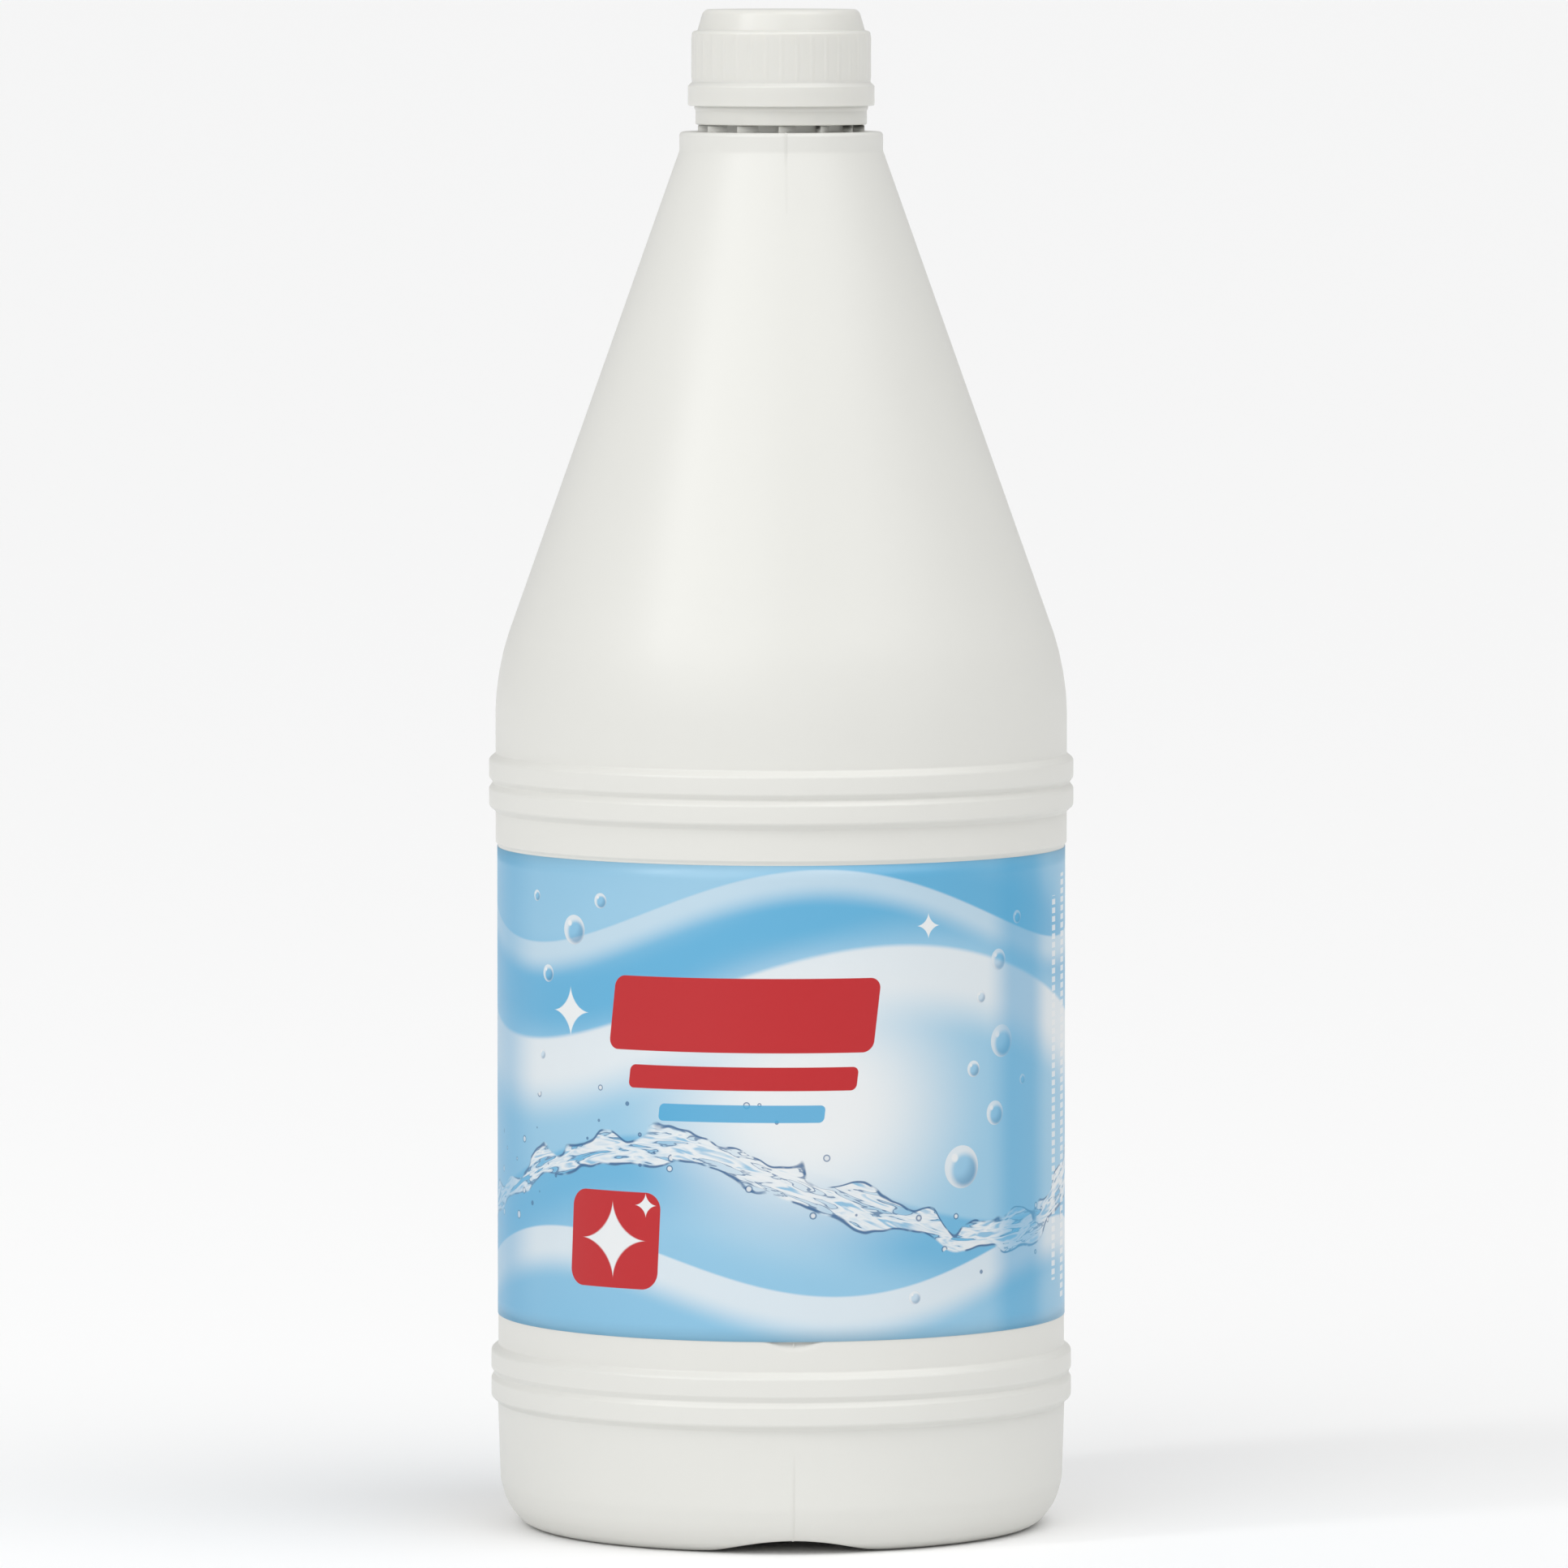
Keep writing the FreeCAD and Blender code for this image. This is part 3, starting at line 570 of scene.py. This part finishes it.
off_stream = calc("SUBTRACT", calc("SUBTRACT", height, 28), swinging(9, 150, 2.75))
current = add_node(film_tree, "ShaderNodeCombineXYZ")
film_tree.links.new(calc("MULTIPLY", across, 0.2), current.inputs["X"])
film_tree.links.new(off_stream, current.inputs["Y"])
threads = add_node(film_tree, "ShaderNodeTexNoise", Scale=0.62, Detail=2.5, Distortion=0.7)
film_tree.links.new(current.outputs["Vector"], threads.inputs["Vector"])
ragged = calc("SUBTRACT", mottle(13, 1.5), 0.5)
upper_edge = calc("SUBTRACT", off_stream, calc("ADD", 3.0, calc("MULTIPLY", ragged, 19)))
lower_edge = calc("ADD", off_stream, calc("SUBTRACT", 2.6, calc("MULTIPLY", ragged, 10)))
water = calc("MULTIPLY", flip(soften(-0.4, 0.4, upper_edge)), soften(-0.4, 0.4, lower_edge))
art = over(art, WHITE, calc("MULTIPLY", water, soften(0.36, 0.56, threads.outputs["Fac"])), 0.95)
art = over(art, DEEP, calc("MULTIPLY", water, soften(0.55, 0.68, threads.outputs["Fac"])), 0.7)
from_fold = calc("ABSOLUTE", calc("SUBTRACT", threads.outputs["Fac"], 0.43))
art = over(art, NAVY, calc("MULTIPLY", water, flip(soften(0.01, 0.026, from_fold))), 0.7)
for edge in (upper_edge, lower_edge):
    thin = flip(soften(0.1, 0.4, calc("ABSOLUTE", edge)))
    art = over(art, NAVY, calc("MULTIPLY", thin, soften(0.38, 0.52, mottle(5, 2))), 0.9)

drops = add_node(film_tree, "ShaderNodeTexVoronoi", Scale=1 / 3.1, Randomness=1.0)
film_tree.links.new(sheet.outputs["Vector"], drops.inputs["Vector"])
chance = add_node(film_tree, "ShaderNodeSeparateColor")
film_tree.links.new(drops.outputs["Color"], chance.inputs["Color"])
drop_r = calc("MULTIPLY", soften(0.3, 1.0, chance.outputs["Red"]), 0.3)
near_stream = flip(soften(4, 18, calc("ABSOLUTE", calc("SUBTRACT", off_stream, 3))))
kept = calc("GREATER_THAN", calc("MULTIPLY", near_stream, chance.outputs["Green"]), 0.36)
spray_at = calc("SUBTRACT", drop_r, drops.outputs["Distance"])
spray = calc("MULTIPLY", soften(0, 0.03, spray_at), kept)
art = over(art, NAVY, spray, 0.75)
art = over(art, WHITE, calc("MULTIPLY", soften(0.06, 0.11, spray_at), kept), 0.85)

BUBBLES = [
    (38, 33, 4.2), (47, 43, 2.4), (41, 52, 1.6), (49, 57, 3.2), (43, 66, 1.2), (48, 73, 2.1),
    (54, 81, 1.3), (-45, 79, 2.9), (-38, 85, 1.5), (-53, 70, 1.7), (-55, 54, 1.0), (-57, 85, 1.1),
    (27, 8, 1.3), (56, 49, 1.0),
]
for x, y, radius in BUBBLES:
    reach = distance(x, y)
    inside = flip(soften(radius - 0.06, radius + 0.06, reach))
    shade = soften(radius * 0.5, radius * 1.3, distance(x - radius * 0.3, y + radius * 0.3))
    lit = soften(radius * 0.55, radius * 0.95, distance(x + radius * 0.16, y - radius * 0.16))
    from_glint = distance(x - radius * 0.42, y + radius * 0.44)
    art = over(art, DEEP, inside, 0.22)
    art = over(art, NAVY, calc("MULTIPLY", inside, shade), 0.45)
    art = over(art, WHITE, calc("MULTIPLY", inside, lit), 0.8)
    art = over(art, WHITE, flip(soften(radius * 0.12, radius * 0.26, from_glint)))

art = over(art, RED, plate(-8, 63.5, 54, 14.5, 2.2, -0.12))
art = over(art, RED, plate(-8, 51.2, 46, 4.6, 1.2, -0.12))
art = over(art, DEEP, plate(-8, 44.4, 33, 3.4, 1.0, -0.12), 0.9)
art = over(art, RED, plate(-35, 19, 21, 19, 3.4, -0.05))
art = over(art, WHITE, sparkle(-35, 19, 7.5))
art = over(art, WHITE, sparkle(-27.4, 26, 2.4))
art = over(art, WHITE, sparkle(-46, 63, 5.0))
art = over(art, WHITE, sparkle(30, 80.5, 2.6))

art = over(art, DEEP, upright(44, 68, 9), 0.6)
art = over(art, DEEP, upright(-100, -56, 16), 0.55)
art = over(art, WHITE, upright(90, 175, 0.14))
RULED = ink(144, 179, 200)
from_rule = calc("ABSOLUTE", calc("SUBTRACT", calc("FLOORED_MODULO", height, 3.1), 1.5))
ruled = flip(soften(0.3, 0.45, from_rule))
for x, width, y, tall in ((112, 38, 55, 55.8), (153, 38, 49, 68.2)):
    art = over(art, RULED, calc("MULTIPLY", plate(x, y, width, tall, 0.2), ruled), 0.8)
dashed = calc("GREATER_THAN", calc("FLOORED_MODULO", height, 1.7), 0.6)
for x, width, tall in ((71, 2.2, 76), (78.5, 3.4, 84)):
    art = over(art, WHITE, calc("MULTIPLY", plate(x, 46, width, tall, 0.2), dashed), 0.8)
art = over(art, SKY, plate(112, 17, 38, 15.5, 2.0))
art = over(art, WHITE, plate(112, 17, 36, 13.5, 1.4))
for place in range(4):
    art = over(art, DEEP, plate(98.5 + 9 * place, 17, 6.6, 6.6, 1.6), 0.55)
film_tree.links.new(art, film.inputs["Base Color"])

film_place = add_node(film_tree, "ShaderNodeTexCoord")
cockle = add_node(film_tree, "ShaderNodeTexNoise", Scale=38.0, Detail=1.5, Roughness=0.4)
film_tree.links.new(film_place.outputs["Object"], cockle.inputs["Vector"])
film_grain = add_node(film_tree, "ShaderNodeTexNoise", Scale=3200.0, Detail=1.0)
film_tree.links.new(film_place.outputs["Object"], film_grain.inputs["Vector"])
slack = add_node(film_tree, "ShaderNodeBump", Strength=1.0, Distance=0.035 * MM)
tooth = add_node(film_tree, "ShaderNodeBump", Strength=1.0, Distance=0.0015 * MM)
film_tree.links.new(cockle.outputs["Fac"], slack.inputs["Height"])
film_tree.links.new(film_grain.outputs["Fac"], tooth.inputs["Height"])
film_tree.links.new(slack.outputs["Normal"], tooth.inputs["Normal"])
film_tree.links.new(tooth.outputs["Normal"], film.inputs["Normal"])
film.inputs["Roughness"].default_value = 0.33
film.inputs["IOR"].default_value = 1.5

label = piece("wrap_label", bm, "bottle", printed_film)
film_body = label.modifiers.new("film_thickness", "SOLIDIFY")
film_body.thickness = LABEL_T * MM
film_body.offset = 1.0
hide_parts("label")


# Tamper ring: a band of white plastic that hangs on the neck's bead by an inner hook.
# Thin bridges joined it to the inner cap until the first opening. Pawls inside it meet the ratchet teeth.
CLOSURE_STEPS = 216
RING_R = 16.9
RING_BORE_R = 15.85
RING_FOOT = 277.3
RING_TOP = 283.2
PAWL_R = 15.55
PAWL_SPAN = 3.0

cap_plastic = moulded_plastic("moulded_polypropylene", (0.694, 0.69, 0.651), (0.681, 0.677, 0.638),
                              roughness=0.33, grain_size=0.6, grain_depth=0.003, streaks=0, milky=0.3)


def sector_blocks(bm, inner_r, outer_r, low, high, span, count, azimuth=0.0):
    """Adds equal blocks between two radii and two heights, the first centred on an azimuth."""
    block = bmesh.new()
    corners = [(inner_r, low), (outer_r, low), (outer_r, high), (inner_r, high)]
    start = azimuth - span / 2
    block.faces.new([block.verts.new(front_spot(radius, start, height)) for radius, height in corners])
    turn_up(block, 4, math.radians(span))
    bmesh.ops.bevel(block, geom=[e for e in block.edges if e.calc_face_angle(0) > 1.0], offset=0.1 * MM,
                    offset_type="OFFSET", affect="EDGES", segments=2, profile=0.5, material=-1)
    repeat_round(block, count)
    spare = bpy.data.meshes.new("blocks")
    block.to_mesh(spare)
    block.free()
    bm.from_mesh(spare)


bm = bmesh.new()
outline(bm, [
    (RING_BORE_R, 279.4, 0),
    (RING_BORE_R, RING_FOOT, 0.1),
    (RING_R, RING_FOOT, 0.3),
    (RING_R, 280.0, 0.3),
    (RING_R + 0.25, 280.5, 0.3),
    (RING_R + 0.25, 281.6, 0.2),
    (RING_R, 281.9, 0.2),
    (RING_R, RING_TOP, 0.2),
    (RING_BORE_R, RING_TOP, 0.1),
    (RING_BORE_R, 281.1, 0),
    (14.7, 281.1, 0.2),
    (14.7, 280.5, 0.1),
    (RING_BORE_R, 279.9, 0),
    (RING_BORE_R, 279.4, 0),
])
turn_up(bm, CLOSURE_STEPS)
sector_blocks(bm, PAWL_R, RING_BORE_R + 0.4, RING_FOOT + 0.05, RING_FOOT + 1.6, PAWL_SPAN, TOOTH_COUNT,
              TOOTH_AZIMUTH - PAWL_SPAN)
tamper_ring = piece("tamper_band", bm, "bottle", cap_plastic)
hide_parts("tamper_ring")


# Sealing liner: a die-cut disc of white foam, pressed between the neck's rim and the inner cap.
# It stays inside the cap when the bottle is opened.
liner_foam, foam_tree, foam = new_finish("liner_foam")
cells = add_node(foam_tree, "ShaderNodeTexVoronoi", Scale=2600.0)
cell_place = add_node(foam_tree, "ShaderNodeTexCoord")
pits = add_node(foam_tree, "ShaderNodeBump", Strength=0.6, Distance=0.03 * MM)
foam_tone = add_node(foam_tree, "ShaderNodeValToRGB")
foam_tone.color_ramp.elements[0].color = (0.86, 0.86, 0.83, 1)
foam_tone.color_ramp.elements[1].color = (0.78, 0.78, 0.75, 1)
foam_tree.links.new(cell_place.outputs["Object"], cells.inputs["Vector"])
foam_tree.links.new(cells.outputs["Distance"], foam_tone.inputs["Fac"])
foam_tree.links.new(foam_tone.outputs["Color"], foam.inputs["Base Color"])
foam_tree.links.new(cells.outputs["Distance"], pits.inputs["Height"])
foam_tree.links.new(pits.outputs["Normal"], foam.inputs["Normal"])
foam.inputs["Roughness"].default_value = 0.85
nodes["liner"].data.materials.clear()
nodes["liner"].data.materials.append(liner_foam)


# Inner cap: the threaded part of the closure, in the same white plastic, with drive lugs on its crown.
# Its snap rim holds the outer cap, and it shows only from below, once the cap is off the neck.
nodes["inner_cap"].data.materials.clear()
nodes["inner_cap"].data.materials.append(cap_plastic)


# Outer cap: a shell with a tapered knob on top, a skirt with faint grip ribs and a flange at its foot.
# It has to be pushed down before its lugs drive the inner cap.
KNOB_TOP = 300.0
SKIRT_TOP = 295.6
SKIRT_FOOT = 285.2
FLANGE_FOOT = 281.0
SKIRT_R = 17.6
FLANGE_R = 18.4
LEDGE = 294.4
CROWN = 298.8
RIB_COUNT = 36
RIB_PROUD = 0.12
RIB_HALF_W = 1.4

bm = bmesh.new()
outline(bm, [
    (17.45, 283.0, 0),
    (17.45, FLANGE_FOOT, 0.15),
    (FLANGE_R, FLANGE_FOOT, 0.3),
    (FLANGE_R, SKIRT_FOOT - 0.3, 0.3),
    (SKIRT_R, SKIRT_FOOT + 0.45, 0.3),
    (SKIRT_R, SKIRT_TOP, 0.6),
    (16.5, SKIRT_TOP + 0.25, 0.35),
    (15.3, KNOB_TOP, 1.4),
    (12.6, KNOB_TOP, 1.2),
    (11.6, KNOB_TOP - 0.15, 1.2),
    (0, KNOB_TOP - 0.15, 0),
], longest=1.0)
turn_up(bm, RIB_COUNT * 12)
for vert in bm.verts:
    height = vert.co.z / MM
    if not SKIRT_FOOT + 0.6 < height < SKIRT_TOP - 0.5:
        continue
    azimuth = math.degrees(math.atan2(vert.co.x, -vert.co.y))
    off = abs((azimuth + 5) % 10 - 5)
    proud = smooth_step(RIB_HALF_W, RIB_HALF_W * 0.3, off)
    proud *= smooth_step(SKIRT_FOOT + 0.7, SKIRT_FOOT + 1.3, height)
    proud *= smooth_step(SKIRT_TOP - 0.7, SKIRT_TOP - 1.3, height)
    scale = 1 + proud * RIB_PROUD / SKIRT_R
    vert.co.x *= scale
    vert.co.y *= scale
outside = bpy.data.meshes.new("outer_cap_outside")
bm.to_mesh(outside)
bm.free()
bm = bmesh.new()
outline(bm, [
    (17.45, 283.0, 0),
    (17.45, SKIRT_FOOT, 0),
    (16.4, SKIRT_FOOT + 1.0, 0),
    (16.4, 289.5, 0),
    (15.95, 290.1, 0),
    (15.95, 290.7, 0),
    (16.4, 290.7, 0),
    (16.4, LEDGE, 0.3),
    (15.3, LEDGE, 0),
    (15.3, SKIRT_TOP, 0),
    (14.1, CROWN, 0.5),
    (0, CROWN, 0),
])
turn_up(bm, RIB_COUNT * 12)
bm.from_mesh(outside)
bmesh.ops.remove_doubles(bm, verts=bm.verts, dist=1e-6)
sector_blocks(bm, 8.5, 12.0, CROWN - 1.9, CROWN + 0.3, 18.0, 8, 22.5)
outer_cap = piece("outer_cap_shell", bm, "outer_cap", cap_plastic)
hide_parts("outer_cap")


# Studio: a wide pale floor under even white light, with two broad soft panels high up in front.
# A tall soft strip on the left draws the long highlight down the left of the shoulder.
floor_paint, _, floor = new_finish("studio_floor")
floor.inputs["Base Color"].default_value = (0.94, 0.94, 0.94, 1)
floor.inputs["Roughness"].default_value = 0.7
floor.inputs["Specular IOR Level"].default_value = 0.1
bm = bmesh.new()
bmesh.ops.create_grid(bm, x_segments=1, y_segments=1, size=80.0)
floor_mesh = bpy.data.meshes.new("floor")
bm.to_mesh(floor_mesh)
bm.free()
floor_mesh.materials.append(floor_paint)
floor_object = bpy.data.objects.new("floor", floor_mesh)
bpy.context.scene.collection.objects.link(floor_object)

world = bpy.data.worlds.new("studio")
bpy.context.scene.world = world
world.use_nodes = True
world.node_tree.nodes["Background"].inputs["Color"].default_value = (1, 1, 1, 1)
world.node_tree.nodes["Background"].inputs["Strength"].default_value = 0.57

for name, energy, azimuth, elevation in (("left_panel", 0.87, -34, 35), ("right_panel", 1.03, 50, 58)):
    panel = bpy.data.lights.new(name, "SUN")
    panel.energy = energy
    panel.angle = math.radians(50)
    panel_object = bpy.data.objects.new(name, panel)
    towards = front_spot(1000, azimuth, 1000 * math.tan(math.radians(elevation)))
    panel_object.rotation_euler = (-towards).to_track_quat("-Z", "Y").to_euler()
    bpy.context.scene.collection.objects.link(panel_object)

strip = bpy.data.lights.new("left_strip", "AREA")
strip.shape = "RECTANGLE"
strip.size = 0.2
strip.size_y = 0.9
strip.energy = 4.0
strip_object = bpy.data.objects.new("left_strip", strip)
strip_object.location = (-1.3, -0.85, 1.35)
strip_object.rotation_euler = Vector((1.3, 0.85, -1.15)).to_track_quat("-Z", "Y").to_euler()
bpy.context.scene.collection.objects.link(strip_object)


# Camera: a long lens, a little above the cap and pointed down at the middle of the bottle.
CAMERA_DISTANCE = 2.6
CAMERA_HEIGHT = 0.324
AIM = Vector((0.00055, 0, 0.1469))
FRAME_WIDTH = 0.3103

camera_data = bpy.data.cameras.new("camera")
camera = bpy.data.objects.new("camera", camera_data)
camera.location = (AIM.x, -CAMERA_DISTANCE, CAMERA_HEIGHT)
sight = AIM - camera.location
camera.rotation_euler = sight.to_track_quat("-Z", "Y").to_euler()
camera_data.sensor_width = 36
camera_data.lens = 36 * sight.length / FRAME_WIDTH
camera_data.clip_end = 300
bpy.context.scene.collection.objects.link(camera)
bpy.context.scene.camera = camera
bpy.context.scene.view_settings.view_transform = "Standard"
